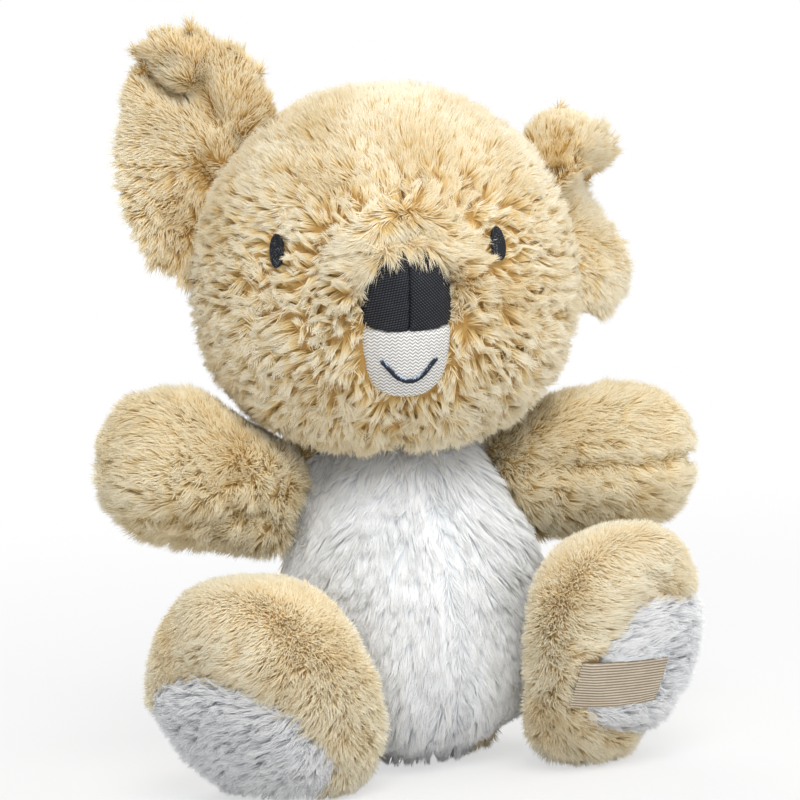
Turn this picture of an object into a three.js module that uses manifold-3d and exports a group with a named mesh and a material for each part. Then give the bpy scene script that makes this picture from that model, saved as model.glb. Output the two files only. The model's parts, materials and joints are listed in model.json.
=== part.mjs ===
// A seated plush koala, in millimetres: +Z up, the toy faces -Y, its left side is +X.
// The origin is the middle of the flat that it sits on. Sewn panels close round a filling,
// and the head, ears, arms and legs each hang on a sewn hinge line.
import * as THREE from "three";
import { mergeVertices } from "three/addons/utils/BufferGeometryUtils.js";
import Module from "manifold-3d";

const wasm = await Module();
wasm.setup();

// Cloth, thread and clearances
const plushThickness = 3;
const seamGap = 0.3;
const hingeGap = 0.5;
const flatDepth = 0.5;
const threadRadius = 0.65;
const threadSides = 6;
const cutterSize = 600;
const stepAngle = 12;

// Body: a pear that leans a little to the toy's right
const body = {
  width: 90,
  depth: 78,
  height: 108,
  bow: 3,
  fullness: 2.35,
  taperShare: -0.15,
  tilt: 0,
  around: 18,
  along: 11,
};
const bodyLean = 2.5;
const sideSeamAngle = 80;
const seatSeamHeight = 8;
const closingLength = 48;
const closingStitches = 8;
const closingHeightShare = 0.45;
const closingWidth = 2.4;
const bodyFilling = { around: 12, along: 9 };

// Head: a little wider than it is tall, sunk on to the top of the body
const head = {
  width: 116,
  depth: 104,
  height: 111,
  bow: 0,
  fullness: 2.2,
  taperShare: -0.05,
  tilt: 0,
  around: 20,
  along: 12,
};
const neckDepth = 24;
const headSink = 9.5;
const headForward = 12;
const headSide = -4;
const headTurn = -13;
const headTip = -1;
const headRoll = -1.5;
const nodForward = 12;
const nodBack = 10;
const crownSeamBack = 6;
const headFilling = { around: 14, along: 9 };

// Nose and muzzle: one padded oval let into the face
const snout = {
  width: 27,
  depth: 24,
  height: 47,
  bow: 0,
  fullness: 2.9,
  taperShare: 0,
  tilt: 0,
  around: 14,
  along: 10,
};
const snoutDrop = -16;
const snoutProud = 5.5;
const noseHeightShare = 0.53;
const smileWidth = 16;
const smileSag = 6;
const smileDrop = 10;
const smileSteps = 10;

// Eyes: embroidered ovals
const eyeWidth = 5;
const eyeHeight = 10;
const eyeThickness = 1.1;
const eyeTurn = { left: 29, right: 38 };
const eyeLift = 6.5;
const ovalSides = 6;

// Ears: cupped petals, two layers of plush
const ear = {
  reachLength: 35,
  middleLength: 13,
  insetLength: 17,
  height: 82,
  thickness: 15,
  cupDepth: 11,
  curlDepth: 7,
  rings: 3,
  around: 16,
};
const earRimPower = 2.6;
const earTurn = 98;
const earFold = 20;
const earPose = {
  left: { lift: 8, sweep: 64, tilt: 27 },
  right: { lift: 35, sweep: 8, tilt: 18 },
};

// Arms: stubby, fuller at the end
const arm = {
  width: 40,
  depth: 46,
  height: 70,
  bow: 0,
  fullness: 2.5,
  taperShare: 0.14,
  tilt: 0,
  around: 12,
  along: 9,
};
const armSink = 9;
const armHeight = 88;
const shoulderTurn = 84;
const armForward = 18;
const armBack = 16;
const armPose = {
  left: { sweep: 25, tilt: 1 },
  right: { sweep: 0, tilt: 15 },
};

// Legs: thick, blunt at the sole, which looks a little down
const leg = {
  width: 60,
  depth: 67,
  height: 62,
  bow: 0,
  fullness: 2.8,
  taperShare: 0.1,
  tilt: 36,
  around: 14,
  along: 10,
};
const limbFilling = { around: 10, along: 8 };
const legSink = 14;
const padWidth = 54;
const padHeight = 44;
const padSides = 8;
const padDrop = 11;
const padDepthShare = 0.6;
const legOut = 14;
const legIn = 10;
const legPose = {
  left: { hip: 56, splay: 8, tilt: 14 },
  right: { hip: 68, splay: 52, tilt: 5 },
};

// Ribbon on the left foot pad
const ribbonWidth = 16;
const ribbonThickness = 0.8;
const ribbonLength = 30;
const ribbonAside = 3;
const ribbonDrop = 5;
const ribbonTurn = -4;

const toRadians = THREE.MathUtils.degToRad;

function finish(color, roughness) {
  return { color, roughness, metalness: 0 };
}

const finishes = {
  tanPlush: finish(0xe2c596, 0.95),
  whitePlush: finish(0xe9ebee, 0.85),
  filling: finish(0xf3f2ee, 1),
  twill: finish(0x2b2e36, 0.8),
  muzzleCloth: finish(0xe0dbd2, 0.85),
  darkThread: finish(0x232a38, 0.55),
  seamThread: finish(0xd8c096, 0.7),
  ribbon: finish(0xb9a68c, 0.75),
};

const toy = new THREE.Group();

// A closed three.js geometry becomes a solid that can be joined and cut
function solid(geometry) {
  geometry.deleteAttribute("normal");
  geometry.deleteAttribute("uv");
  const merged = mergeVertices(geometry);
  const vertProperties = new Float32Array(merged.attributes.position.array);
  const triVerts = new Uint32Array(merged.index.array);
  return new wasm.Manifold(new wasm.Mesh({ numProp: 3, vertProperties, triVerts }));
}

function moved(shape, matrix) {
  return shape.transform(matrix.elements);
}

// A cut can leave slivers beside the piece, which real cloth doesn't have
function largest(shape) {
  const pieces = shape.decompose();
  return pieces.reduce((best, piece) => (piece.volume() > best.volume() ? piece : best));
}

function sew(name, shape, look, parent) {
  const { numProp, vertProperties, triVerts } = largest(shape).getMesh();
  const geometry = new THREE.BufferGeometry();
  geometry.setAttribute("position", new THREE.BufferAttribute(vertProperties, numProp));
  geometry.setIndex(new THREE.BufferAttribute(triVerts, 1));
  geometry.computeVertexNormals();
  const mesh = new THREE.Mesh(geometry, new THREE.MeshStandardMaterial(look));
  mesh.name = name;
  parent.add(mesh);
  return mesh;
}

// The direction at a turn from the toy's front, positive to its left, and a lift from level
function direction(turn, lift) {
  const around = toRadians(turn);
  const up = toRadians(lift);
  return new THREE.Vector3(
    Math.sin(around) * Math.cos(up),
    -Math.cos(around) * Math.cos(up),
    Math.sin(up),
  );
}

// Where a unit direction meets a soft form that swells, tapers and bows along its Z axis.
// A tilt slopes its top end, which is a leg's sole.
function formPoint(form, unit, grow) {
  const along = THREE.MathUtils.clamp(unit.z, -1, 1);
  const ring = Math.hypot(unit.x, unit.y);
  const full = Math.max(0, 1 - Math.abs(along) ** form.fullness) ** (1 / form.fullness);
  const swell = ring > Number.EPSILON ? (full / ring) * (1 + form.taperShare * along) : 0;
  const point = new THREE.Vector3(
    unit.x * swell * (form.width / 2 + grow),
    unit.y * swell * (form.depth / 2 + grow) - form.bow * (1 - along * along),
    along * (form.height / 2 + grow),
  );
  point.z += Math.tan(toRadians(form.tilt)) * point.y * ((1 + along) / 2);
  return point;
}

function formGeometry(form, grow) {
  const geometry = new THREE.SphereGeometry(1, form.around, form.along);
  geometry.rotateX(Math.PI / 2);
  const position = geometry.attributes.position;
  const unit = new THREE.Vector3();
  for (let i = 0; i < position.count; i += 1) {
    const point = formPoint(form, unit.fromBufferAttribute(position, i), grow);
    position.setXYZ(i, point.x, point.y, point.z);
  }
  return geometry;
}

// A block on the side of a seam that the normal points to, set back from the seam
function beside(point, normal, setBack) {
  const block = new THREE.BoxGeometry(cutterSize, cutterSize, cutterSize);
  block.translate(0, 0, cutterSize / 2 + setBack);
  const upright = new THREE.Vector3(0, 0, 1);
  block.applyQuaternion(new THREE.Quaternion().setFromUnitVectors(upright, normal));
  block.translate(point.x, point.y, point.z);
  return solid(block);
}

// An oval bar along Z, for a pad or an eye
function ovalBar(width, height, length, sides) {
  const outline = new THREE.Shape();
  outline.absellipse(0, 0, width / 2, height / 2, 0, Math.PI * 2, false, 0);
  const bar = new THREE.ExtrudeGeometry(outline, {
    depth: length,
    bevelEnabled: false,
    curveSegments: sides,
  });
  bar.translate(0, 0, -length / 2);
  return bar;
}

// A frame at a point whose Z axis looks along a direction
function frameAt(point, lookAlong) {
  const across = new THREE.Vector3(0, 0, 1).cross(lookAlong).normalize();
  const up = lookAlong.clone().cross(across);
  return new THREE.Matrix4().makeBasis(across, up, lookAlong).setPosition(point);
}

// The cloth of a form, its filling and its outside, in the form's own frame
function cloth(form, coarse) {
  const inner = { ...form, ...coarse };
  const outside = solid(formGeometry(form, 0));
  const inside = solid(formGeometry(inner, -plushThickness));
  return {
    outside,
    inside,
    shell: outside.subtract(inside),
    filling: solid(formGeometry(inner, -plushThickness - seamGap)),
  };
}

const downward = new THREE.Vector3(0, 0, -1);
const upward = new THREE.Vector3(0, 0, 1);
const leftward = new THREE.Vector3(1, 0, 0);
const rightward = new THREE.Vector3(-1, 0, 0);
const backward = new THREE.Vector3(0, 1, 0);
const forward = new THREE.Vector3(0, -1, 0);
const zero = new THREE.Vector3();

// A frame of its own inside another, whose origin is the hinge where it moves
function frameIn(parent, name, matrix) {
  const frame = new THREE.Group();
  frame.name = name;
  frame.applyMatrix4(matrix);
  parent.add(frame);
  frame.updateWorldMatrix(true, false);
  return frame;
}

function seenFrom(shape, from, to) {
  return moved(shape, to.matrixWorld.clone().invert().multiply(from.matrixWorld));
}

// All the room that a larger neighbour takes up while a frame swings about an axis of its own
function sweptRoom(shape, from, to, axis, range) {
  const still = seenFrom(shape, from, to);
  const steps = Math.ceil((range[1] - range[0]) / stepAngle);
  let room = still;
  for (let i = 0; i <= steps; i += 1) {
    const angle = range[0] + ((range[1] - range[0]) * i) / steps;
    const turn = new THREE.Matrix4().makeRotationAxis(axis, toRadians(-angle));
    room = room.add(moved(still, turn));
  }
  return room;
}

function turnedAndRaised(point, turn, tilt) {
  return new THREE.Matrix4()
    .makeTranslation(point.x, point.y, point.z)
    .multiply(new THREE.Matrix4().makeRotationZ(toRadians(turn)))
    .multiply(new THREE.Matrix4().makeRotationY(toRadians(-tilt)));
}

// Thread laid along a smooth line of points
function threadAlong(points, steps) {
  const outline = new THREE.Shape();
  outline.absarc(0, 0, threadRadius, 0, Math.PI * 2, false);
  const thread = new THREE.ExtrudeGeometry(outline, {
    curveSegments: threadSides / 2,
    steps,
    bevelEnabled: false,
    extrudePath: new THREE.CatmullRomCurve3(points),
  });
  return solid(thread);
}

// Body. Its frame is the middle of the pear, leaning about the middle of the seat.
const bodyMiddle = body.height / 2 - flatDepth;
const bodyFrame = frameIn(toy, "body_frame", new THREE.Matrix4()
  .makeRotationY(toRadians(-bodyLean))
  .multiply(new THREE.Matrix4().makeTranslation(0, 0, bodyMiddle)));
const bodyCloth = cloth(body, bodyFilling);
const bodyRoom = solid(formGeometry(body, hingeGap));
const aboveFloor = beside(zero, upward, 0);
const bodyFloor = seenFrom(aboveFloor, toy, bodyFrame);
const bodyShell = bodyCloth.shell.intersect(bodyFloor);

const seatSeam = new THREE.Vector3(0, 0, seatSeamHeight - bodyMiddle);
const underSeat = beside(seatSeam, downward, seamGap / 2);
const aboveSeat = beside(seatSeam, upward, seamGap / 2);
sew("seat_panel", bodyShell.intersect(underSeat), finishes.tanPlush, bodyFrame);
sew("body_stuffing", bodyCloth.filling.intersect(bodyFloor), finishes.filling, bodyFrame);

for (const [side, hand, away] of [["left", 1, leftward], ["right", -1, rightward]]) {
  const half = bodyShell.intersect(aboveSeat).intersect(beside(zero, away, seamGap / 2));
  const frontward = direction(-hand * (90 - sideSeamAngle), 0);
  const rearward = frontward.clone().negate();
  const front = beside(zero, frontward, seamGap / 2);
  const rear = beside(zero, rearward, seamGap / 2);
  sew(`belly_${side}`, half.intersect(front), finishes.whitePlush, bodyFrame);
  sew(`back_${side}`, half.intersect(rear), finishes.tanPlush, bodyFrame);
}

// The ladder stitch that closes the back seam crosses it from side to side
const closingPoints = [];
for (let i = 0; i <= closingStitches; i += 1) {
  const rise = closingLength * (i / closingStitches - 1 / 2);
  const along = (body.height * (closingHeightShare - 1 / 2) + rise) / (body.height / 2);
  const across = ((i % 2 ? 1 : -1) * closingWidth) / body.width;
  const unit = new THREE.Vector3(across, 1, along);
  closingPoints.push(formPoint(body, unit, seamGap + threadRadius));
}
sew("closing_thread", threadAlong(closingPoints, closingStitches * 3),
  finishes.seamThread, bodyFrame);

// A point of the body's surface, in the toy's frame, at a turn from its front and a height
function bodyPoint(turn, height) {
  const along = (height - bodyMiddle) / (body.height / 2);
  const unit = direction(turn, 0).setZ(along);
  return formPoint(body, unit, 0).applyMatrix4(bodyFrame.matrixWorld);
}

// Head. Its hinge is inside the top of the body, so that the dome it rests on stays under it.
const neck = new THREE.Vector3(0, 0, body.height / 2 - neckDepth)
  .applyMatrix4(bodyFrame.matrixWorld);
const neckFrame = frameIn(toy, "neck_nod", new THREE.Matrix4()
  .makeTranslation(neck.x, neck.y, neck.z)
  .multiply(new THREE.Matrix4().makeRotationZ(toRadians(headTurn)))
  .multiply(new THREE.Matrix4().makeRotationX(toRadians(headTip)))
  .multiply(new THREE.Matrix4().makeRotationY(toRadians(-headRoll))));
const headRise = neckDepth - headSink + head.height / 2;
const headFrame = frameIn(neckFrame, "head_frame", new THREE.Matrix4()
  .makeTranslation(headSide, -headForward, headRise));
const nodRange = [-nodBack, nodForward];
const neckRoom = seenFrom(sweptRoom(bodyRoom, bodyFrame, neckFrame, leftward, nodRange),
  neckFrame, headFrame);
const headCloth = cloth(head, headFilling);
const headRoom = solid(formGeometry(head, hingeGap));

// The room that the head takes up as it nods, which the arms stay out of
let noddingHead = moved(headRoom, headFrame.matrix);
for (const nod of nodRange) {
  const turn = new THREE.Matrix4().makeRotationAxis(leftward, toRadians(nod));
  noddingHead = noddingHead.add(moved(headRoom, turn.multiply(headFrame.matrix)));
}

// Nose and muzzle are let into the face, with the filling behind them
const snoutSeat = formPoint(head, direction(0, snoutDrop), 0);
const snoutLook = direction(0, snoutDrop);
const snoutMiddle = snoutSeat.clone()
  .addScaledVector(snoutLook, snoutProud - snout.depth / 2);
const snoutFrame = frameIn(headFrame, "snout_frame", new THREE.Matrix4()
  .makeTranslation(snoutMiddle.x, snoutMiddle.y, snoutMiddle.z)
  .multiply(new THREE.Matrix4().makeRotationX(toRadians(-snoutDrop))));
const headInside = seenFrom(headCloth.inside, headFrame, snoutFrame);
const snoutBody = solid(formGeometry(snout, 0)).subtract(headInside);
const snoutHole = seenFrom(solid(formGeometry(snout, seamGap)), snoutFrame, headFrame);
const noseSeam = new THREE.Vector3(0, 0, snout.height * (1 / 2 - noseHeightShare));
const nose = snoutBody.intersect(beside(noseSeam, upward, seamGap / 2));
sew("nose_left", nose.intersect(beside(zero, leftward, seamGap / 2)),
  finishes.twill, snoutFrame);
sew("nose_right", nose.intersect(beside(zero, rightward, seamGap / 2)),
  finishes.twill, snoutFrame);
sew("muzzle_patch", snoutBody.intersect(beside(noseSeam, downward, seamGap / 2)),
  finishes.muzzleCloth, snoutFrame);

const smilePoints = [];
for (let i = 0; i <= smileSteps; i += 1) {
  const across = (2 * i) / smileSteps - 1;
  const height = -smileDrop - smileSag * (1 - across * across);
  const along = height / (snout.height / 2);
  const full = (1 - Math.abs(along) ** snout.fullness) ** (1 / snout.fullness);
  const aside = (across * smileWidth) / (snout.width * full);
  const unit = new THREE.Vector3(aside, -Math.sqrt(1 - aside * aside), along);
  smilePoints.push(formPoint(snout, unit, seamGap + threadRadius));
}
sew("smile_thread", threadAlong(smilePoints, smileSteps), finishes.darkThread, snoutFrame);

// The face closes on the chin seam, the back of the head on a seam of its own
const headShell = headCloth.shell.subtract(neckRoom);
const crownSeam = new THREE.Vector3(0, crownSeamBack, 0);
const faceShell = headShell.intersect(beside(crownSeam, forward, seamGap / 2))
  .subtract(snoutHole);
const napeShell = headShell.intersect(beside(crownSeam, backward, seamGap / 2));
sew("head_stuffing", headCloth.filling.subtract(neckRoom), finishes.filling, headFrame);

const eyeSkin = solid(formGeometry(head, seamGap + eyeThickness))
  .subtract(solid(formGeometry(head, seamGap)));
for (const [side, hand, away] of [["left", 1, leftward], ["right", -1, rightward]]) {
  const half = beside(zero, away, seamGap / 2);
  sew(`face_${side}`, faceShell.intersect(half), finishes.tanPlush, headFrame);
  sew(`head_back_${side}`, napeShell.intersect(half), finishes.tanPlush, headFrame);

  const eyeLook = direction(hand * eyeTurn[side], eyeLift);
  const eyeSeat = frameAt(formPoint(head, eyeLook, 0), eyeLook);
  const oval = moved(solid(ovalBar(eyeWidth, eyeHeight, eyeHeight, ovalSides)), eyeSeat);
  sew(`eye_${side}`, eyeSkin.intersect(oval), finishes.darkThread, headFrame);
}

// One layer of an ear: a pad that thins to its rim, cupped, with its top curling forward.
// It is tallest at its middle and reaches a little way into the seam of the head.
// Front is 1 for the inner face and -1 for the back.
function earLayer(hand, front) {
  const points = [];
  const add = (ring, turn, pile) => {
    const outward = ring * Math.cos(turn);
    const up = ring * Math.sin(turn);
    const bend = ear.cupDepth * ring * ring + ear.curlDepth * Math.max(0, up) ** 2;
    const lift = seamGap / 2 + (ear.thickness / 2) * pile;
    const width = outward > 0
      ? ear.reachLength - ear.middleLength
      : ear.middleLength + ear.insetLength;
    points.push(
      ear.middleLength + width * outward,
      -hand * (bend + front * lift),
      (ear.height / 2) * up,
    );
  };
  const index = [];
  const rings = ear.rings;
  const around = ear.around;
  const at = (sheet, ring, step) => {
    if (ring === 0) return sheet;
    if (ring === rings) return 2 + 2 * (rings - 1) * around + (step % around);
    return 2 + ((ring - 1) * 2 + sheet) * around + (step % around);
  };
  add(0, 0, 0);
  add(0, 0, 1);
  for (let ring = 1; ring <= rings; ring += 1) {
    for (let sheet = 0; sheet < (ring < rings ? 2 : 1); sheet += 1) {
      const share = ring / rings;
      const pile = sheet * (1 - share ** earRimPower) ** (1 / 2);
      for (let step = 0; step < around; step += 1) {
        add(share, (2 * Math.PI * step) / around, pile);
      }
    }
  }
  for (let sheet = 0; sheet < 2; sheet += 1) {
    for (let ring = 0; ring < rings; ring += 1) {
      for (let step = 0; step < around; step += 1) {
        const a = at(sheet, ring, step);
        const b = at(sheet, ring + 1, step);
        const c = at(sheet, ring + 1, step + 1);
        const d = at(sheet, ring, step + 1);
        index.push(...(sheet ? [a, b, c] : [a, c, b]));
        if (ring > 0) index.push(...(sheet ? [a, c, d] : [a, d, c]));
      }
    }
  }
  if (hand * front < 0) {
    for (let i = 0; i < index.length; i += 3) {
      [index[i + 1], index[i + 2]] = [index[i + 2], index[i + 1]];
    }
  }
  const geometry = new THREE.BufferGeometry();
  geometry.setAttribute("position", new THREE.Float32BufferAttribute(points, 3));
  geometry.setIndex(index);
  return solid(geometry);
}

// The panels of a limb, which lies along X from its hinge and is cut by what it hangs on
const alongX = new THREE.Matrix4().makeBasis(backward, upward, leftward);
function limbPlace(form, sink) {
  return new THREE.Matrix4().makeTranslation(form.height / 2 - sink, 0, 0).multiply(alongX);
}

function limbCloth(form, coarse, sink, room) {
  const place = limbPlace(form, sink);
  const whole = cloth(form, coarse);
  return {
    shell: moved(whole.shell, place).subtract(room),
    filling: moved(whole.filling, place).subtract(room),
  };
}

const legPlace = limbPlace(leg, legSink);
const legOutside = solid(formGeometry(leg, 0));
for (const [side, hand] of [["left", 1], ["right", -1]]) {
  const toward = hand > 0 ? 0 : 180;

  // Ear: sewn in the side seam of the head
  const earPosition = formPoint(head, direction(hand * earTurn, earPose[side].lift), 0);
  const earSweep = earPose[side].sweep;
  const earFrame = frameIn(headFrame, `ear_${side}_fold`,
    turnedAndRaised(earPosition, toward + hand * earSweep, earPose[side].tilt));
  const earRoom = sweptRoom(headRoom, headFrame, earFrame, upward, [-earFold, earFold]);
  sew(`ear_${side}_inner`, earLayer(hand, 1).subtract(earRoom), finishes.tanPlush, earFrame);
  sew(`ear_${side}_back`, earLayer(hand, -1).subtract(earRoom), finishes.tanPlush, earFrame);

  // Arm: an upper and a lower panel on a seam along its front and back
  const shoulder = bodyPoint(hand * shoulderTurn, armHeight);
  const armFrame = frameIn(toy, `arm_${side}_swing`,
    turnedAndRaised(shoulder, toward - hand * armPose[side].sweep, armPose[side].tilt));
  const armRange = hand > 0 ? [-armForward, armBack] : [-armBack, armForward];
  const armRoom = sweptRoom(bodyRoom, bodyFrame, armFrame, upward, armRange);
  const armClear = sweptRoom(noddingHead, neckFrame, armFrame, upward, armRange);
  const armCloth = limbCloth(arm, limbFilling, armSink, armRoom.add(armClear));
  sew(`arm_${side}_upper`, armCloth.shell.intersect(beside(zero, upward, seamGap / 2)),
    finishes.tanPlush, armFrame);
  sew(`arm_${side}_lower`, armCloth.shell.intersect(beside(zero, downward, seamGap / 2)),
    finishes.tanPlush, armFrame);
  sew(`arm_${side}_stuffing`, armCloth.filling, finishes.filling, armFrame);

  // Leg: an inner and an outer panel with a ridge seam on top, round a sole of its own
  const { hip, splay, tilt } = legPose[side];
  const legTurn = turnedAndRaised(zero, -90 + hand * splay, tilt);
  const freeLeg = moved(legOutside, legPlace).intersect(beside(zero, leftward, 0));
  const hipHeight = -flatDepth - moved(freeLeg, legTurn).boundingBox().min[2];
  const hipPoint = bodyPoint(hand * hip, hipHeight);
  const legFrame = frameIn(toy, `leg_${side}_splay`, legTurn.setPosition(hipPoint));
  const legRange = hand > 0 ? [-legIn, legOut] : [-legOut, legIn];
  const legRoom = sweptRoom(bodyRoom, bodyFrame, legFrame, upward, legRange);
  const legCloth = limbCloth(leg, limbFilling, legSink, legRoom);
  const legFloor = seenFrom(aboveFloor, toy, legFrame);
  const legShell = legCloth.shell.intersect(legFloor);
  const soleLook = direction(90, -leg.tilt);
  const soleMiddle = new THREE.Vector3(leg.height - legSink, 0, 0)
    .addScaledVector(direction(90, 90 - leg.tilt), -padDrop);
  const soleFrame = frameAt(soleMiddle, soleLook);
  const padBar = (grow) => moved(
    solid(ovalBar(padWidth + grow, padHeight + grow, leg.height * padDepthShare, padSides)),
    soleFrame,
  );
  const upperLeg = legShell.subtract(padBar(seamGap));
  const outer = new THREE.Vector3(0, hand, 0);
  const inner = outer.clone().negate();
  sew(`leg_${side}_outer`, upperLeg.intersect(beside(zero, outer, seamGap / 2)),
    finishes.tanPlush, legFrame);
  sew(`leg_${side}_inner`, upperLeg.intersect(beside(zero, inner, seamGap / 2)),
    finishes.tanPlush, legFrame);
  sew(`foot_pad_${side}`, legShell.intersect(padBar(-seamGap)),
    finishes.whitePlush, legFrame);
  sew(`leg_${side}_stuffing`, legCloth.filling.intersect(legFloor),
    finishes.filling, legFrame);

  // A plain ribbon is sewn across the left sole
  if (hand > 0) {
    const strip = new THREE.BoxGeometry(ribbonLength, ribbonWidth, leg.height * padDepthShare);
    strip.translate(-ribbonAside, -ribbonDrop, 0);
    strip.rotateZ(toRadians(ribbonTurn));
    const skin = solid(formGeometry(leg, seamGap + ribbonThickness))
      .subtract(solid(formGeometry(leg, seamGap)));
    const ribbon = moved(skin, legPlace)
      .intersect(moved(solid(strip), soleFrame))
      .intersect(padBar(-ribbonThickness));
    sew("foot_ribbon", ribbon, finishes.ribbon, legFrame);
  }
}

export default toy;
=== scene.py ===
import json
import math

import bmesh
import bpy
import numpy as np
from mathutils import Matrix, Vector
from mathutils.bvhtree import BVHTree


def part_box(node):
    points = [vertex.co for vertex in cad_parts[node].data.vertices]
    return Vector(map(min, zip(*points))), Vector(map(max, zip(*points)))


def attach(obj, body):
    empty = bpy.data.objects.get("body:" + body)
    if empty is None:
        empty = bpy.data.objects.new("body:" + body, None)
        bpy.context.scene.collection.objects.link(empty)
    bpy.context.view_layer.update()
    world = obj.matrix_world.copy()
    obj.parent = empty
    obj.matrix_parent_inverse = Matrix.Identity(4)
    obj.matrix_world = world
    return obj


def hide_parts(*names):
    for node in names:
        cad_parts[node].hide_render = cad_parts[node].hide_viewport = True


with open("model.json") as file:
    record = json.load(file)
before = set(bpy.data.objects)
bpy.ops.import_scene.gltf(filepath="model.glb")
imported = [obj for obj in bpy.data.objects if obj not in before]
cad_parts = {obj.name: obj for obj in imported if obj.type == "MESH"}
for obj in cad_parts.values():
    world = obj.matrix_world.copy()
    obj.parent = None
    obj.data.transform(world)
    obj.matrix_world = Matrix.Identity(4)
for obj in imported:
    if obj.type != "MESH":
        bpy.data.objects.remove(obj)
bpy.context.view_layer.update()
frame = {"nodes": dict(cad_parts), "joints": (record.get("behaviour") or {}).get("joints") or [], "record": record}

# The room: a white floor that keeps the toy's soft shadow and fades into a white surround,
# a large soft main lamp high in front of the toy, and two weak lamps at its side and rear.
scene = bpy.context.scene
scene.view_settings.view_transform = "Standard"


node_families = {"SHADER": ("ShaderNode",),
        "GEOMETRY": ("GeometryNode", "ShaderNode", "FunctionNode", "Node")}


class Wire:
    """One socket of a node tree. Sums on wires add Math nodes, or Vector Math nodes where the
    wire carries a vector: there * scales it and @ is a dot product."""

    def __init__(self, tree, socket):
        self.tree, self.socket = tree, socket

    def sum(self, operation, *values):
        return add_node(self.tree, "Math", {"operation": operation}, dict(enumerate(values)))

    def either(self, operation, a, b):
        if self.socket.type == "VALUE":
            return self.sum(operation, a, b)
        if operation == "MULTIPLY":
            return add_node(self.tree, "VectorMath", {"operation": "SCALE"}, {0: a, "Scale": b})
        return vector(self.tree, operation, a, b)

    def __add__(self, other): return self.either("ADD", self, other)
    def __radd__(self, other): return self.sum("ADD", other, self)
    def __sub__(self, other): return self.either("SUBTRACT", self, other)
    def __rsub__(self, other): return self.sum("SUBTRACT", other, self)
    def __mul__(self, other): return self.either("MULTIPLY", self, other)
    def __rtruediv__(self, other): return self.sum("DIVIDE", other, self)
    def __matmul__(self, other): return vector(self.tree, "DOT_PRODUCT", self, other, out=1)

    def wave(self, pitch):
        """A wave between 0 and 1 that repeats at this pitch."""
        return self.sum("COSINE", self * (2 * math.pi / pitch)) * 0.5 + 0.5

    def out(self, name):
        """Another output of the same node."""
        return Wire(self.tree, self.socket.node.outputs[name])


def add_node(tree, kind, *given, out=0):
    """Adds any node, given its settings, where it has some, and its sockets' values or wires."""
    settings, values = ({}, {}, *given)[-2:]
    family = next(f for f in node_families[tree.type] if hasattr(bpy.types, f + kind))
    node = tree.nodes.new(family + kind)
    for name, value in settings.items():
        if name == "stops":
            ramp = node.color_ramp
            while len(ramp.elements) < len(value):
                ramp.elements.new(0.5)
            for stop, (at, colour) in zip(ramp.elements, value):
                stop.position, stop.color = at, (*colour, 1)
        else:
            setattr(node, name, value)
    for name, value in values.items():
        socket = node.inputs[name]
        if isinstance(value, Wire):
            tree.links.new(value.socket, socket)
        elif isinstance(value, tuple) and len(value) == 3 and socket.type == "RGBA":
            socket.default_value = (*value, 1)
        else:
            socket.default_value = value
    return Wire(tree, node.outputs[out]) if node.outputs else node


def vector(tree, operation, *values, out=0):
    return add_node(tree, "VectorMath", {"operation": operation}, dict(enumerate(values)), out=out)


def new_material(name):
    material = bpy.data.materials.new(name)
    material.use_nodes = True
    material.node_tree.nodes.clear()
    return material, material.node_tree


def close_material(tree, shader):
    add_node(tree, "OutputMaterial", {"Surface": shader})


def new_piece(name, mesh):
    piece = bpy.data.objects.new(name, mesh)
    scene.collection.objects.link(piece)
    return piece


floor_size = 4.0
floor_mesh = bpy.data.meshes.new("floor")
floor_mesh.from_pydata([(x * floor_size, y * floor_size, 0) for x, y in
        ((-1, -1), (1, -1), (1, 1), (-1, 1))], [], [(0, 1, 2, 3)])
floor = new_piece("floor", floor_mesh)
floor_paint, tree = new_material("floor_paint")
paint = add_node(tree, "BsdfDiffuse", {"Color": (0.86, 0.86, 0.86)})
glow = add_node(tree, "Emission", {"Color": (1, 1, 1), "Strength": 1.0})
seen = add_node(tree, "LightPath", out="Is Camera Ray")
from_toy = vector(tree, "LENGTH", add_node(tree, "TexCoord", out="Object"), out=1)
fade = add_node(tree, "MapRange", {"interpolation_type": "SMOOTHSTEP"}, {
    "Value": from_toy, "From Min": 0.1, "From Max": 0.75, "To Min": 0.62, "To Max": 1.0})
close_material(tree, add_node(tree, "MixShader", {0: seen * fade, 1: paint, 2: glow}))
floor_mesh.materials.append(floor_paint)

world = bpy.data.worlds.new("surround")
world.use_nodes = True
tree = world.node_tree
tree.nodes.clear()
seen = add_node(tree, "LightPath", out="Is Camera Ray")
soft_light = add_node(tree, "Background", {"Color": (0.95, 0.97, 1.0), "Strength": 0.52})
white = add_node(tree, "Background", {"Color": (1, 1, 1), "Strength": 1.0})
add_node(tree, "OutputWorld", {"Surface": add_node(
    tree, "MixShader", {0: seen, 1: soft_light, 2: white})})
scene.world = world

toy_middle = Vector((-0.002, 0, 0.113))


def direction(turn, lift):
    """The way from the toy to a lamp or the camera: turned round it and lifted, in degrees."""
    turn, lift = math.radians(turn), math.radians(lift)
    return Vector((math.sin(turn) * math.cos(lift), -math.cos(turn) * math.cos(lift),
            math.sin(lift)))


def place_lamp(name, turn, lift, distance, size, power, colour):
    lamp = bpy.data.lights.new(name, "AREA")
    lamp.shape, lamp.size, lamp.energy, lamp.color = "DISK", size, power, colour
    stand = bpy.data.objects.new(name, lamp)
    away = direction(turn, lift)
    stand.location = toy_middle + away * distance
    stand.rotation_euler = away.to_track_quat("Z", "Y").to_euler()
    scene.collection.objects.link(stand)


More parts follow.
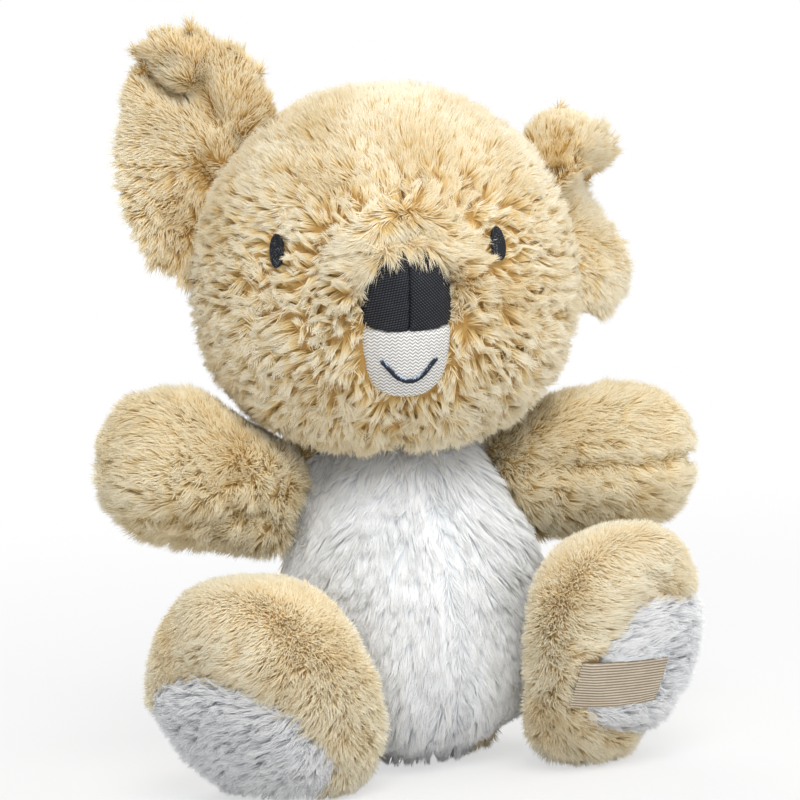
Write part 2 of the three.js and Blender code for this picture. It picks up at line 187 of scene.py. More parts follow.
place_lamp("main_lamp", turn=-12, lift=44, distance=1.3, size=0.7, power=10.6,
        colour=(1.0, 0.98, 0.95))
place_lamp("side_lamp", turn=50, lift=25, distance=1.5, size=1.0, power=4.5,
        colour=(0.98, 0.99, 1.0))
place_lamp("rear_lamp", turn=175, lift=50, distance=1.5, size=1.0, power=5.0,
        colour=(1.0, 0.99, 0.97))

camera_turn, camera_lift, camera_roll, camera_distance = -20, 4, math.radians(3.5), 0.7
back = direction(camera_turn, camera_lift)
level = Vector((math.cos(math.radians(camera_turn)), math.sin(math.radians(camera_turn)), 0))
upright = back.cross(level)
right = level * math.cos(camera_roll) - upright * math.sin(camera_roll)
up = level * math.sin(camera_roll) + upright * math.cos(camera_roll)
camera_data = bpy.data.cameras.new("camera")
camera_data.sensor_width, camera_data.lens = 36, 100.8
camera = bpy.data.objects.new("camera", camera_data)
turn = Matrix((right, up, back)).transposed().to_4x4()
camera.matrix_world = Matrix.Translation(toy_middle + back * camera_distance) @ turn
scene.collection.objects.link(camera)
scene.camera = camera

# The plush: long cream-tan pile on the head, back and limbs, and shorter silky white pile on
# the belly and soles. Every tuft is a slim bent spike, dark at its root and pale at its tip.
# The cloth under the pile is each CAD form, stuffed tight and drawn in along its seams.
pile_foot = 0.0026        # how far the cloth lies under the CAD form, to make room for the pile
seam_pull = 0.0016        # how much deeper it is drawn in along a seam
cloth_thickness, weld_gap = 0.0004, 1e-6
floor_gap, cloth_floor_gap = 0.0003, 0.0012
sat_height, sat_facing = 0.0025, -0.85    # cloth this low that faces down this much is sat on
stuffing_pressure = 400.0
cloth_mass = 0.01
cloth_frames = 20
most_swell = 0.001
bulge_thickening = 180    # extra tufts per metre that the cloth bulges out, where it is stretched


def plush_material(name, root, middle, tip, dull):
    material, tree = new_material(name)
    shade = add_node(tree, "SeparateXYZ", {0: add_node(tree, "UVMap", {"uv_map": "OFBake"}, {})})
    pile_colour = add_node(tree, "ValToRGB", {"stops": (
        (0.08, root), (0.4, middle), (0.72, tip))}, {0: shade.out(1)})
    darker = add_node(tree, "Mix", {"data_type": "RGBA", "blend_type": "MULTIPLY"},
            {0: 1 - shade, 6: pile_colour, 7: dull}, out=2)
    close_material(tree, add_node(tree, "BsdfPrincipled", {
        "Base Color": darker, "Roughness": 0.5, "Specular IOR Level": 0.5,
        "Sheen Weight": 0.15, "Sheen Roughness": 0.5, "Sheen Tint": (1, 0.97, 0.92)}))
    return material


tan_pile = plush_material("tan_pile", root=(0.54, 0.33, 0.09), middle=(0.85, 0.67, 0.34),
        tip=(0.975, 0.91, 0.73), dull=(0.8, 0.69, 0.48))
white_pile = plush_material("white_pile", root=(0.74, 0.77, 0.8), middle=(0.885, 0.9, 0.915),
        tip=(0.945, 0.955, 0.96), dull=(0.92, 0.935, 0.95))


def joined_copy(names):
    """One welded bmesh of copies of these CAD nodes."""
    form = bmesh.new()
    for name in names:
        form.from_mesh(frame["nodes"][name].data)
    bmesh.ops.remove_doubles(form, verts=form.verts, dist=weld_gap)
    return form


def search_tree(form):
    tree = BVHTree.FromBMesh(form)
    form.free()
    return tree


def reader(names):
    """Finds the nearest point of these CAD nodes."""
    return search_tree(joined_copy(names))


node_readers = {name: reader([name]) for name in frame["nodes"]}
body_nodes = frame["record"]["behaviour"]["bodies"]
body_readers = {body: reader(names) for body, names in body_nodes.items()}


def mesh_reader(mesh):
    """Finds the nearest point of a finished mesh."""
    form = bmesh.new()
    form.from_mesh(mesh)
    return search_tree(form)


def distances(reader_tree, points):
    """How far each point is from the nearest surface, and where that surface is."""
    near = [reader_tree.find_nearest(p) for p in points]
    return (np.array([hit[3] for hit in near]), np.array([tuple(hit[0]) for hit in near]))


def along_paths(points, paths):
    """How far each point is from the nearest of some polylines, and the nearest place there."""
    best, place = np.full(len(points), 1.0), points.copy()
    for path in paths:
        for a, b in zip(path[:-1], path[1:]):
            a, b = np.array(a), np.array(b)
            t = np.clip((points - a) @ (b - a) / ((b - a) @ (b - a)), 0, 1)[:, None]
            spot = a + t * (b - a)
            gap = np.linalg.norm(points - spot, axis=1)
            nearer = gap < best
            best[nearer], place[nearer] = gap[nearer], spot[nearer]
    return best, place


def eased(values, low, high):
    t = np.clip((values - low) / (high - low), 0, 1)
    return t * t * (3 - 2 * t)


def unit(vectors):
    length = np.linalg.norm(vectors, axis=-1, keepdims=True)
    return vectors / np.maximum(length, 1e-9)


def read_rows(parts, name):
    """One vector of each part of a mesh, as rows."""
    values = np.zeros(len(parts) * 3)
    parts.foreach_get(name, values)
    return values.reshape(-1, 3)


def points_of(mesh):
    return read_rows(mesh.vertices, "co"), read_rows(mesh.vertex_normals, "vector")


def set_points(mesh, points):
    mesh.vertices.foreach_set("co", np.ascontiguousarray(points).ravel())
    mesh.update()


def with_modifiers(mesh, *kinds):
    """A new mesh: this one after some modifiers, given as (type, settings)."""
    piece = new_piece("form", mesh)
    for kind, settings in kinds:
        modifier = piece.modifiers.new(kind.lower(), kind)
        for name, value in settings.items():
            setattr(modifier, name, value)
    depsgraph = bpy.context.evaluated_depsgraph_get()
    result = bpy.data.meshes.new_from_object(piece.evaluated_get(depsgraph))
    bpy.data.objects.remove(piece)
    return result


def even_form(names, voxel, smoothing):
    """The closed outside of some CAD nodes, with even faces and its facets smoothed out."""
    form = joined_copy(names)
    mesh = bpy.data.meshes.new("form")
    form.to_mesh(mesh)
    form.free()
    return with_modifiers(mesh, ("REMESH", {"mode": "VOXEL", "voxel_size": voxel}),
            ("SMOOTH", {"factor": 0.5, "iterations": smoothing}))


def finer(mesh):
    return with_modifiers(mesh, ("SUBSURF", {"levels": 1, "render_levels": 1}))


def stuff(mesh, held, most):
    """Blows a form up from inside as cloth, with its sewn points held, and no point past most."""
    start, _ = points_of(mesh)
    piece = new_piece("stuffed", mesh)
    group = piece.vertex_groups.new(name="held")
    for index in np.flatnonzero(held > 0.01):
        group.add([int(index)], float(held[index]), "REPLACE")
    cloth = piece.modifiers.new("stuffed", "CLOTH")
    cloth.settings.vertex_group_mass = "held"
    cloth.settings.use_pressure = True
    cloth.settings.uniform_pressure_force = stuffing_pressure
    cloth.settings.effector_weights.gravity = 0
    cloth.settings.mass = cloth_mass
    cloth.point_cache.frame_start, cloth.point_cache.frame_end = 1, cloth_frames
    for number in range(1, cloth_frames + 1):
        scene.frame_set(number)
    swollen, _ = points_of(piece.evaluated_get(bpy.context.evaluated_depsgraph_get()).data)
    move = swollen - start
    size = np.linalg.norm(move, axis=1, keepdims=True)
    move *= np.minimum(1, most / np.maximum(size, 1e-9))
    piece.modifiers.clear()
    bpy.data.objects.remove(piece)
    set_points(mesh, start + move)
    scene.frame_set(1)


def seam_gap(points, panels):
    """How far each point is from its nearest seam between two panels, and where that is."""
    gaps, nearest = zip(*(distances(node_readers[p], points) for p in panels))
    order = np.argsort(gaps, axis=0)
    gap = np.take_along_axis(np.array(gaps), order[1:2], axis=0)[0]
    return gap, np.array(nearest)[order[1], np.arange(len(points))]


def neighbour_gap(points, body, sewn_to=None):
    """How far each point is from the other bodies, but for one that this body is sewn to."""
    gap = np.full(len(points), 1.0)
    for other, tree in body_readers.items():
        if other not in (body, sewn_to):
            gap = np.minimum(gap, distances(tree, points)[0])
    return gap


def stuffing_of(body):
    return [name for name in (body + "_stuffing",) if name in frame["nodes"]]


def stuffed_form(body, panels):
    mesh = even_form(panels + stuffing_of(body), voxel=0.0045, smoothing=6)
    points, _ = points_of(mesh)
    held = 1 - eased(seam_gap(points, panels)[0], 0.002, 0.007)
    held = np.maximum(held, 1 - eased(neighbour_gap(points, body), 0.002, 0.008))
    stuff(mesh, held, most_swell)
    return finer(mesh)


def tuft_mesh():
    """One tuft: a slim three-sided spike, one unit long, whose root is sunk in the cloth."""
    points = [(-0.5, -0.2, -0.1), (0.5, -0.2, -0.1), (0, 0.4, -0.1), (0, 0, 1)]
    faces = [(0, 1, 3), (1, 2, 3), (2, 0, 3)]
    mesh = bpy.data.meshes.new("tuft")
    mesh.from_pydata(points, [], faces)
    for name, values in (("along", [p[2] for p in points]), ("aside", [-1, 1, 0, 0])):
        mesh.attributes.new(name, "FLOAT", "POINT").data.foreach_set("value", values)
    return mesh


tuft = new_piece("tuft", tuft_mesh())


vector_names = ("comb", "droop", "upright", "heading", "outward")


def kind_of(name):
    return "FLOAT_VECTOR" if name in vector_names else "FLOAT"


def named(tree, name):
    return add_node(tree, "InputNamedAttribute", {"data_type": kind_of(name)}, {"Name": name})


def store(tree, geometry, name, kind, domain, value):
    return add_node(tree, "StoreNamedAttribute", {"data_type": kind, "domain": domain},
            {"Geometry": geometry, "Name": name, "Value": value})


def join(tree, *parts):
    node = tree.nodes.new("GeometryNodeJoinGeometry")
    for part in parts:
        tree.links.new(part.socket, node.inputs[0])
    return Wire(tree, node.outputs[0])


def new_tree(name, inputs, result):
    """A Geometry Nodes tree with these inputs, by label and kind, and a wire for each input."""
    tree = bpy.data.node_groups.new(name, "GeometryNodeTree")
    for label, kind in inputs.items():
        tree.interface.new_socket(label, in_out="INPUT", socket_type="NodeSocket" + kind)
    tree.interface.new_socket(result, in_out="OUTPUT", socket_type="NodeSocketGeometry")
    given = tree.nodes.new("NodeGroupInput")
    return tree, {label: Wire(tree, given.outputs[label]) for label in inputs}


def pile_tree():
    """A tree that sows tufts on a cloth, combs and clumps them, and keeps them off the floor."""
    tree, ask = new_tree("pile", {
        "Cloth": "Geometry", "Tuft": "Object", "Tufts per square metre": "Float",
        "Tuft length": "Float", "Tuft width": "Float", "Clump size": "Float",
        "Gathering": "Float", "Clumping": "Float", "Straying": "Float", "Seed": "Int",
        "Pile material": "Material"}, "Plush")
    sown = add_node(tree, "DistributePointsOnFaces", {"distribute_method": "RANDOM"}, {
        "Mesh": ask["Cloth"], "Density": ask["Tufts per square metre"] * named(tree, "thick"),
        "Seed": ask["Seed"]})
    upright = sown.out("Normal")
    place = add_node(tree, "InputPosition")
    comb, lie, mess = named(tree, "comb"), named(tree, "lie"), named(tree, "mess")
    half = (0.5, 0.5, 0.5)

    def cloud(size, detail, offset):
        return add_node(tree, "TexNoise", {"noise_dimensions": "3D"}, {
            "Vector": place + offset, "Scale": 1.0 / size, "Detail": detail, "Roughness": 0.6},
            out=1) - half

    def chance(low, high, seed, kind="FLOAT"):
        wide = kind == "FLOAT_VECTOR"
        ends = {0: (low,) * 3, 1: (high,) * 3} if wide else {2: low, 3: high}
        return add_node(tree, "RandomValue", {"data_type": kind}, {**ends, "Seed": seed},
                out=0 if wide else 1)

    # Each tuft leans towards the comb, with its clump's own lean, and is gathered to its clump.
    cell = add_node(tree, "TexVoronoi", {"voronoi_dimensions": "3D"}, {
        "Vector": place + cloud(0.006, 1.0, (0.3, 0.1, 0.7)) * 0.004,
        "Scale": 1.0 / ask["Clump size"]}, out="Position")
    cell_chance = cell.out("Color") - half
    gather = cell - place
    gather = gather - upright * (gather @ upright)
    clump = cell_chance + cloud(ask["Clump size"] * 4.0, 1.0, (1.7, 5.2, 0.9)) * 2.4
    stray = chance(-1.0, 1.0, 11, "FLOAT_VECTOR")
    lean = (upright * (1 - lie) + comb * lie + clump * (ask["Clumping"] * mess)
            + stray * ask["Straying"])
    least_rise = 0.32
    inward = lean @ upright
    lift = inward.sum("MAXIMUM", least_rise - inward, 0.0)
    lean = vector(tree, "NORMALIZE", lean + upright * lift)
    turn = add_node(tree, "AxesToRotation", {"primary_axis": "Z", "secondary_axis": "Y"},
            {0: lean, 1: upright + stray * 0.5})
    length = (ask["Tuft length"] * named(tree, "long") * chance(0.82, 1.08, 5)
            * (cell_chance @ (0.0, 0.0, 0.24) + 1.0))
    width = ask["Tuft width"] * chance(0.65, 1.3, 6)
    # Its shade comes from wide patches, from its clump and from chance. It is darker in folds and along seams, a
    # painted shade where real shade falls.
    patch = cloud(ask["Clump size"] * 7.0, 2.0, (8.3, 2.2, 4.1)) @ (1.0, 1.0, 0.0)
    shade = (0.72 + patch * 1.6 + cell_chance @ (0.3, 0.0, 0.0) + chance(-0.15, 0.15, 7)
            - named(tree, "folded"))
    shade = add_node(tree, "Clamp", {0: shade, 1: 0.04, 2: 0.96})
    curl = vector(tree, "CROSS_PRODUCT", cell_chance, upright)
    droop = comb * 0.3 - upright * 0.12 + (0.0, 0.0, -0.1) + curl * (mess * 0.7)
    droop = droop * length + gather * (ask["Gathering"] * mess)
    points = sown
    for name, value in (("droop", droop), ("upright", upright), ("shade", shade)):
        points = store(tree, points, name, kind_of(name), "POINT", value)
    tufts = add_node(tree, "InstanceOnPoints", {
        "Points": points, "Rotation": turn,
        "Instance": add_node(tree, "ObjectInfo", {"Object": ask["Tuft"]}, out="Geometry"),
        "Scale": add_node(tree, "CombineXYZ", {0: width, 1: width, 2: length})})
    tufts = add_node(tree, "RealizeInstances", {"Geometry": tufts})
    along = named(tree, "along")
    bend = named(tree, "droop") * (along * along)
    tufts = add_node(tree, "SetPosition", {"Geometry": tufts, "Offset": bend})
    map_point = add_node(tree, "CombineXYZ", {
        0: named(tree, "shade") + named(tree, "aside") * 0.03, 1: along})
    tufts = store(tree, tufts, "OFBake", "FLOAT2", "CORNER", map_point)

    at = add_node(tree, "SeparateXYZ", {0: place})
    under = add_node(tree, "CombineXYZ", {0: at * 1.5 + 0.5, 1: at.out(2) * 0.1 + 0.02})
    cloth = store(tree, ask["Cloth"], "OFBake", "FLOAT2", "CORNER", under)
    inner = add_node(tree, "ExtrudeMesh", {"mode": "FACES"},
            {"Mesh": cloth, "Offset Scale": -cloth_thickness, "Individual": False})
    inner = add_node(tree, "FlipFaces", {"Mesh": inner})
    cloth = add_node(tree, "MergeByDistance",
            {"Geometry": join(tree, inner, cloth), "Distance": weld_gap})
    plush = join(tree, tufts, cloth)
    off_floor = add_node(tree, "CombineXYZ", {
        0: at, 1: at.out(1), 2: at.sum("MAXIMUM", at.out(2), floor_gap)})
    plush = add_node(tree, "SetPosition", {"Geometry": plush, "Position": off_floor})
    face = add_node(tree, "InputNormal", out="True Normal")
    skin = named(tree, "upright")
    facing = face @ skin
    turned = facing.sum("MAXIMUM", 0 - facing, 0.0)
    soft = face * (turned + 0.95) + skin
    plush = add_node(tree, "SetMaterial", {"Geometry": plush, "Material": ask["Pile material"]})
    normals = tree.nodes.new("GeometryNodeSetMeshNormal")
    normals.mode, normals.domain = "FREE", "CORNER"
    tree.links.new(plush.socket, normals.inputs[0])
    custom = [s for s in normals.inputs if s.type == "VECTOR"][0]
    tree.links.new(vector(tree, "NORMALIZE", soft).socket, custom)
    add_node(tree, "GroupOutput", {0: Wire(tree, normals.outputs[0])})
    return tree


pile = pile_tree()
working_names = ("droop", "upright", "shade", "along", "aside", "comb", "lie", "long", "thick",
        "mess", "folded", "heading", "outward", "reach")


def run_tree(name, mesh, tree, wanted):
    """Runs a Geometry Nodes tree on a mesh, and turns the result into one plain piece."""
    piece = new_piece(name, mesh)
    maker = piece.modifiers.new("maker", "NODES")
    maker.node_group = tree
    for socket in tree.interface.items_tree:
        if socket.name in wanted:
            maker[socket.identifier] = wanted[socket.name]
    depsgraph = bpy.context.evaluated_depsgraph_get()
    made = piece.evaluated_get(depsgraph)
    piece.data = bpy.data.meshes.new_from_object(made, depsgraph=depsgraph)
    piece.modifiers.clear()
    for spare in [a.name for a in piece.data.attributes if a.name in working_names]:
        piece.data.attributes.remove(piece.data.attributes[spare])
    return piece


def grow_pile(name, cloth, material, seed, tufts, length, width, clump, gathering, clumping,
        straying):
    return run_tree(name, cloth, pile, {
        "Tuft": tuft, "Tufts per square metre": tufts * 1e6, "Tuft length": length,
        "Tuft width": width, "Clump size": clump, "Gathering": gathering, "Clumping": clumping,
        "Straying": straying, "Seed": seed, "Pile material": material})


def split_cloth(form, panels, claim):
    """Which panel each face of a filled form belongs to: the nearest CAD panel, after its claim."""
    centres, normals = read_rows(form.polygons, "center"), read_rows(form.polygons, "normal")
    return np.argmin([distances(node_readers[p], centres)[0] - claim(p, centres, normals)
            for p in panels], axis=0)


def store_on_points(mesh, fields):
    for name, values in fields.items():
        kind = "FLOAT_VECTOR" if values.ndim == 2 else "FLOAT"
        layer = mesh.attributes.new(name, kind, "POINT")
        layer.data.foreach_set("vector" if values.ndim == 2 else "value", values.ravel())


def cut_panel(form, owners, index):
    """The faces of one panel as a mesh of their own."""
    panel = bmesh.new()
    panel.from_mesh(form)
    panel.faces.ensure_lookup_table()
    others = [panel.faces[i] for i in np.flatnonzero(owners != index)]
    bmesh.ops.delete(panel, geom=others, context="FACES")
    for face in panel.faces:
        face.smooth = True
    mesh = bpy.data.meshes.new("cloth")
    panel.to_mesh(mesh)
    panel.free()
    return mesh


def comb_form(form, body, panels, flow, lie, long, inset, mess, notch=1.0,
        keep_off=(), folds=(), sewn_to=None, over=0.0, seams=None):
    """Draws a form in for its pile, pulls its seams and folds down, and says how the pile lies.
    What is asked for may be one number, or a function of the form's points and normals."""
    points, normals = points_of(form)

    def field(value):
        return np.ones(len(points)) * (value(points, normals) if callable(value) else value)

    seam, seam_at = seams(points) if seams else seam_gap(points, panels)
    sewn = (1 - eased(seam, 0.0, 0.006)) * field(notch)
    neighbour = neighbour_gap(points, body, sewn_to)
    comb = unit(flow(points, normals)) + unit(points - seam_at) * (sewn * 0.9)[:, None]
    folded, fold_draw = np.zeros(len(points)), np.zeros(len(points))
    surface = mesh_reader(form)
    for path, depth, width in folds:
        fold, fold_at = along_paths(points, [distances(surface, path)[1]])
        near = np.exp(-(fold / width) ** 2)
        comb += unit(points - fold_at) * (near * (0.8 if depth > 0 else 0))[:, None]
        folded, fold_draw = np.maximum(folded, near * (depth > 0)), fold_draw + near * depth
    comb -= normals * np.sum(comb * normals, axis=1, keepdims=True)
    sure = eased(np.linalg.norm(comb, axis=1), 0.0, 0.6)
    thick = 0.4 + 0.6 * eased(neighbour, 0.0004, 0.003)
    lifted = field(over)
    thick *= 1 + lifted * bulge_thickening
    thick[(points[:, 2] < sat_height) & (normals[:, 2] < sat_facing)] = 0.0
    length = field(long) * (1 - 0.35 * sewn) * (1 - 0.3 * folded)
    length *= 0.35 + 0.65 * eased(neighbour, 0.001, 0.009)
    draw = field(inset)
    for node, clear, reach, shortest, rise in keep_off:
        gap = distances(node_readers[node], points)[0] + lifted * 2
        thick *= eased(gap, clear, clear + 0.0006)
        length *= shortest + (1 - shortest) * eased(gap, clear, reach)
        draw *= rise + (1 - rise) * eased(gap, 0.0015, 0.009)
    draw += seam_pull * (1 - eased(seam, 0.0, 0.007)) * field(notch) + fold_draw
    draw -= lifted
    moved = points - normals * draw[:, None]
    moved[:, 2] = np.maximum(moved[:, 2], cloth_floor_gap)
    set_points(form, moved)
    # folded darkens the pile's colour in folds and, less, along seams: a painted shade.
    store_on_points(form, {"comb": unit(comb), "lie": field(lie) * sure, "long": length,
            "thick": thick, "mess": field(mess), "folded": 0.5 * folded + 0.12 * sewn})


def take_place(piece, body, slot, *nodes):
    """Puts a finished piece on its body, in place of its CAD nodes."""
    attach(piece, body)
    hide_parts(*nodes)


seeds = iter(range(1, 100))


def dress(body, panels, form, pile_of, claim=lambda panel, points, normals: 0.0):
    """Makes one plush piece for each panel of a form, each in place of its CAD node."""
    owners = split_cloth(form, panels, claim)
    for index, panel in enumerate(panels):
        look = dict(pile_of(panel))
        slot = look.pop("slot")
        cloth = cut_panel(form, owners, index)
        piece = grow_pile(panel + "_plush", cloth, seed=next(seeds), **look)
        take_place(piece, body, slot, panel, *(stuffing_of(body) if index == 0 else ()))


down, forward = np.array((0.0, 0.0, -1.0)), np.array((0.0, -1.0, 0.0))
toy_across = np.array(level)
long_tan = dict(slot="tan_plush", material=tan_pile, tufts=5.2, length=0.0062, width=0.00054,
        clump=0.0027, gathering=0.55, clumping=0.62, straying=0.18)
silky_white = dict(slot="white_plush", material=white_pile, tufts=5.0, length=0.0066,
        width=0.00056, clump=0.0034, gathering=0.6, clumping=0.45, straying=0.1)

# The body: a pear of two white belly panels and two tan back panels, closed by a seat panel.
# The belly's pile is combed down and outwards from its middle seam.
body_panels = ["belly_left", "belly_right", "back_left", "back_right", "seat_panel"]
body_form = stuffed_form("body", body_panels)
shoulder_widening, nape_lift = 0.62, 0.0045


def body_flow(points, normals):
    outward = points * (1.6, 0.3, 0)
    front = np.clip(-normals[:, 1], 0, 1)[:, None]
    return down + outward * 14 * front


def widen_shoulders(form):
    """Swells the back's sides between the neck and the arms, and lifts the nape into the head."""
    points, _ = points_of(form)
    across, top = points @ toy_across, points[:, 2].max()
    wider = shoulder_widening * eased(points[:, 2], 0.072, 0.1) * eased(points[:, 1], -0.012, 0.002)
    behind = eased(points[:, 1], -0.006, 0.004)
    nape = nape_lift * eased(points[:, 2], top - 0.014, top - 0.002) * behind
    set_points(form, points + toy_across * (across * wider)[:, None] - down * nape[:, None])


def body_claim(panel, points, normals):
    """Moves the belly's right seam outwards, and keeps the belly's pile off the nape."""
    if not panel.startswith("belly"):
        return 0.0
    nape = (points[:, 2] > 0.095) & (points[:, 1] > -0.001)
    return np.where(nape, -0.05, 0.011 if panel == "belly_right" else 0.0)


widen_shoulders(body_form)
comb_form(
    body_form, "body", body_panels, body_flow,
    lie=lambda p, n: 0.66 + 0.1 * np.clip(-n[:, 1], 0, 1),
    long=lambda p, n: 1.0 - 0.15 * eased(-n[:, 2], 0.5, 0.95),
    inset=lambda p, n: pile_foot * (1 - 0.75 * eased(p[:, 2], 0.088, 0.1)),
    mess=0.8)
dress("body", body_panels, body_form,
      lambda panel: silky_white if panel.startswith("belly") else long_tan,
      claim=body_claim)
body_cloth = mesh_reader(body_form)

# The head: two face panels with a chin seam and two rear panels, stuffed firmly.
# Its pile spreads outwards from the nose, and falls over the nose's top edge.
head_panels = ["face_left", "face_right", "head_back_left", "head_back_right"]
nose_low, nose_high = map(np.array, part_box("nose_left"))
nose_right_low, _ = map(np.array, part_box("nose_right"))
nose_middle = np.array(((nose_high[0] + nose_right_low[0]) / 2, nose_low[1],
        (nose_low[2] + nose_high[2]) / 2))
matted_tan = {**long_tan, "clump": 0.0029, "gathering": 0.8, "clumping": 0.85}
head_form = stuffed_form("head", head_panels)
# Beside a patch: how far the pile stays clear, how far it is short, how short, and how much
# of the cloth's inset is left there.
beside_eye = (0.0006, 0.006, 0.45, 0.7)
beside_nose, beside_muzzle = (0.0009, 0.003, 0.95, 0.12), (0.0009, 0.006, 0.55, 0.12)
nose_reader = reader(["nose_left", "nose_right"])


def over_nose(points):
    """1 for pile that grows just above the nose, 0 elsewhere."""
    near = 1 - eased(distances(nose_reader, points)[0], 0.004, 0.009)
    return near * eased(points[:, 2], nose_high[2] - 0.014, nose_high[2] - 0.005)


def nose_cover(points, normals):
    """How far the cloth bulges out over the nose's top edge, above a low arch."""
    arch = nose_high[2] - 0.0047 - 0.0085 * ((points[:, 0] - nose_middle[0] - 0.0004) / 0.0125) ** 2
    near = 1 - eased(distances(nose_reader, points)[0], 0.002, 0.01)
    least_rise, start, cover = 0.0046, 0.03, 0.0022
    rise = np.full(len(points), least_rise)
    for i in np.flatnonzero(near > 0):
        away = Vector(normals[i])
        hit = nose_reader.ray_cast(Vector(points[i]) + away * start, -away)
        if hit[0] is not None:
            rise[i] = max(rise[i], start - hit[3] + cover)
    return near * rise * eased(points[:, 2], arch - 0.001, arch + 0.002)


def from_nose(points, near, far):
    return eased(np.linalg.norm(points - nose_middle, axis=1), near, far)


def head_flow(points, normals):
    spread = unit(points - nose_middle)
    spread += down * 0.35 * eased(points[:, 1], -0.02, 0.03)[:, None]
    fall = over_nose(points)[:, None]
    beside = eased(np.abs(points[:, 0] - nose_middle[0]), 0.003, 0.01)[:, None]
    return spread * (1 - fall) + (down + spread * (1.6 * beside - 0.3)) * fall


def smooth_brow(points, normals):
    return eased(normals[:, 2], 0.1, 0.65)


comb_form(
    head_form, "head", head_panels, head_flow,
    lie=lambda p, n: (0.14 + 0.16 * from_nose(p, 0.014, 0.034) + 0.2 * smooth_brow(p, n)
        + 0.3 * over_nose(p)),
    long=lambda p, n: 0.84 + 0.1 * from_nose(p, 0.016, 0.035) + 0.15 * over_nose(p),
    inset=pile_foot - 0.0016,
    mess=lambda p, n: 1.35 - 0.95 * smooth_brow(p, n) - 0.7 * over_nose(p), over=nose_cover,
    notch=lambda p, n: eased(-n[:, 2], 0.1, 0.5),
    keep_off=(("eye_left", *beside_eye), ("eye_right", *beside_eye),
        ("nose_left", *beside_nose), ("nose_right", *beside_nose),
        ("muzzle_patch", *beside_muzzle)))
dress("head", head_panels, head_form, lambda panel: matted_tan)

# The nose and muzzle: two padded halves of dark ribbed cloth, with the ribs mirrored at the
# seam between them, over a padded patch of off-white zig-zag cloth.
weave_pitch, thread_depth = 0.00068, 0.00012


def woven_material(name, gap, thread, height):
    """A cloth whose threads stand up where height, made of wires by the given function, is 1."""
    material, tree = new_material(name)
    at = add_node(tree, "TexCoord", out="Object")
    weave = height(at)
    fleck = add_node(tree, "TexNoise", {"Vector": at, "Scale": 900.0, "Detail": 3.0})
    worn = add_node(tree, "TexNoise", {"Vector": at, "Scale": 140.0, "Detail": 2.0})
    # The colour runs from the gap colour in the hollows to the thread colour on the raised threads. It is a
    # painted shade between the threads, and on the dark nose a painted highlight on its ribs.
    clear = add_node(tree, "MapRange", {"Value": weave, "From Min": 0.15, "From Max": 0.8})
    colour = add_node(tree, "Mix", {"data_type": "RGBA"}, {
        0: clear * (0.62 + fleck * 0.5) + (worn - 0.5) * 0.3, 6: gap, 7: thread}, out=2)
    bump = add_node(tree, "Bump", {
        "Strength": 0.8, "Distance": thread_depth, "Height": weave + fleck * 0.3})
    close_material(tree, add_node(tree, "BsdfPrincipled", {
        "Base Color": colour, "Roughness": 0.75, "Specular IOR Level": 0.3, "Normal": bump}))
    return material


face_turn = math.radians(-13)
face_right = (math.cos(face_turn), math.sin(face_turn), 0)


def slanted(angle):
    """The direction on the face that stands square to ribs drawn at this angle."""
    a = math.radians(angle)
    return (-math.sin(a) * face_right[0], -math.sin(a) * face_right[1], math.cos(a))


def ribbed(angle):
    def height(at):
        rib = (at @ slanted(angle)).wave(weave_pitch)
        cross = (at @ slanted(angle + 68)).wave(weave_pitch * 1.1)
        return rib * (0.35 + cross * 0.65)
    return height


def zig_zag(at):
    across = at @ face_right
    zig = across.sum("PINGPONG", across, 0.0008) * 0.8
    return (at @ (0, 0, 1) + zig).wave(weave_pitch * 1.4)


def finish_mesh(mesh, material=None):
    """Smooth faces, of this one material."""
    for face in mesh.polygons:
        face.use_smooth = True
    mesh.materials.clear()
    if material:
        mesh.materials.append(material)


def padded_patch(node, slot, grow, material):
    """A small padded piece of cloth: the CAD form with its edges rounded, a little fuller."""
    mesh = finer(even_form([node], voxel=0.0011, smoothing=5))
    points, normals = points_of(mesh)
    set_points(mesh, points + normals * grow)
    finish_mesh(mesh, material)
    piece = new_piece(node + "_cloth", mesh)
    take_place(piece, "head", slot, node)


for side, rib_angle in (("left", -48), ("right", 8)):
    # The ribs' lighter thread colour on the near-black nose is a painted highlight.
    padded_patch("nose_" + side, "nose_twill", grow=0.0004, material=woven_material(
        "nose_ribs_" + side, gap=(0.0012, 0.0012, 0.0018), thread=(0.062, 0.068, 0.088),
        height=ribbed(rib_angle)))
# The muzzle's grey gap colour between its white threads is a painted shade.
padded_patch("muzzle_patch", "muzzle_cloth", grow=0.0003, material=woven_material(
    "muzzle_zig_zag", gap=(0.4, 0.39, 0.38), thread=(0.99, 0.98, 0.96), height=zig_zag))

# The stitching: a stitched smile on the muzzle, two padded satin-stitch eyes, and the ladder
# stitches that close the back. Each stitch is one short round-ended length of thread.
stitch_profile = ((-0.5, 0.0), (-0.44, 0.3), (-0.25, 0.5), (0.25, 0.5), (0.44, 0.3), (0.5, 0.0))
stitch_sides = 8


def stitch_mesh():
    points = [(0, 0, stitch_profile[0][0])]
    for at, wide in stitch_profile[1:-1]:
        for i in range(stitch_sides):
            a = 2 * math.pi * i / stitch_sides
            points.append((wide * math.cos(a), wide * math.sin(a), at))
    points.append((0, 0, stitch_profile[-1][0]))
    last, rows = len(points) - 1, len(stitch_profile) - 2
    faces = [(0, 1 + (i + 1) % stitch_sides, 1 + i) for i in range(stitch_sides)]
    for row in range(rows - 1):
        low, high = 1 + row * stitch_sides, 1 + (row + 1) * stitch_sides
        faces += [(low + i, low + (i + 1) % stitch_sides, high + (i + 1) % stitch_sides, high + i)
                for i in range(stitch_sides)]
    top = 1 + (rows - 1) * stitch_sides
    faces += [(top + i, top + (i + 1) % stitch_sides, last) for i in range(stitch_sides)]
    mesh = bpy.data.meshes.new("stitch")
    mesh.from_pydata(points, [], faces)
    finish_mesh(mesh)
    return mesh


